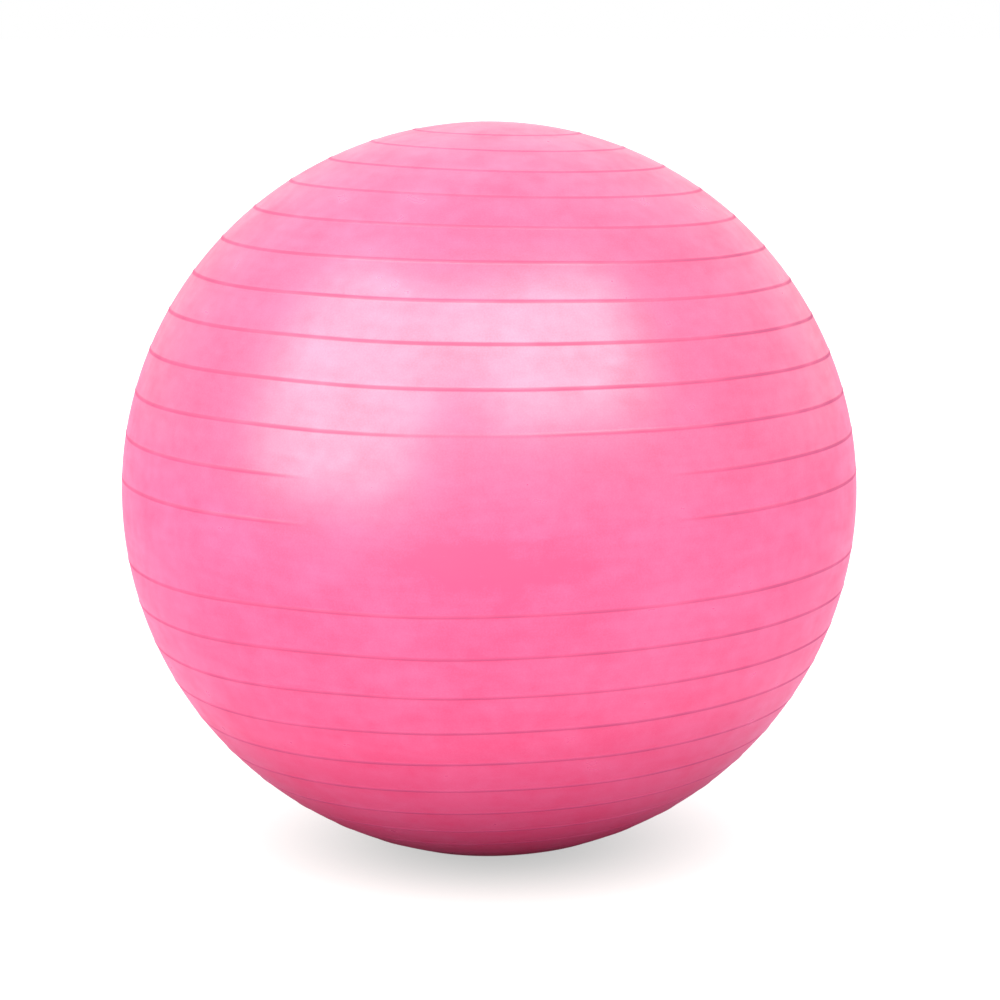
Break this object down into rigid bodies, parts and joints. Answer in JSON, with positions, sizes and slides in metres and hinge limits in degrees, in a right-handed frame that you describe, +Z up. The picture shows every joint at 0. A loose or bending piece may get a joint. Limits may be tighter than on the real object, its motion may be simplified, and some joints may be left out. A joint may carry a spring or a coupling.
{
  "type": "exercise ball",
  "caption": "Inflatable vinyl exercise ball with fine moulded ribs, a valve seat fused into its skin and a push-in valve plug.",
  "frame": {"origin": "centre of the round patch that rests on the floor", "axes": "+Z up along the axis of the ribs; +Y along the valve's axis, out of the ball"},
  "size_m": [0.6499, 0.6498, 0.6485],
  "materials": {
    "skin_vinyl": "pearly pink vinyl with a satin gloss",
    "seat_vinyl": "thicker pink vinyl, satin",
    "plug_plastic": "white polyethylene, lightly frosted"
  },
  "bodies": {
    "ball": {"ball_skin": "skin_vinyl", "valve_seat": "seat_vinyl"},
    "plug": {"valve_plug": "plug_plastic"}
  },
  "joints": [
    {"name": "plug_pull", "type": "slide", "parent": "ball", "child": "plug", "axis": [0, 1, 0], "range_m": [0, 0.03]}
  ]
}
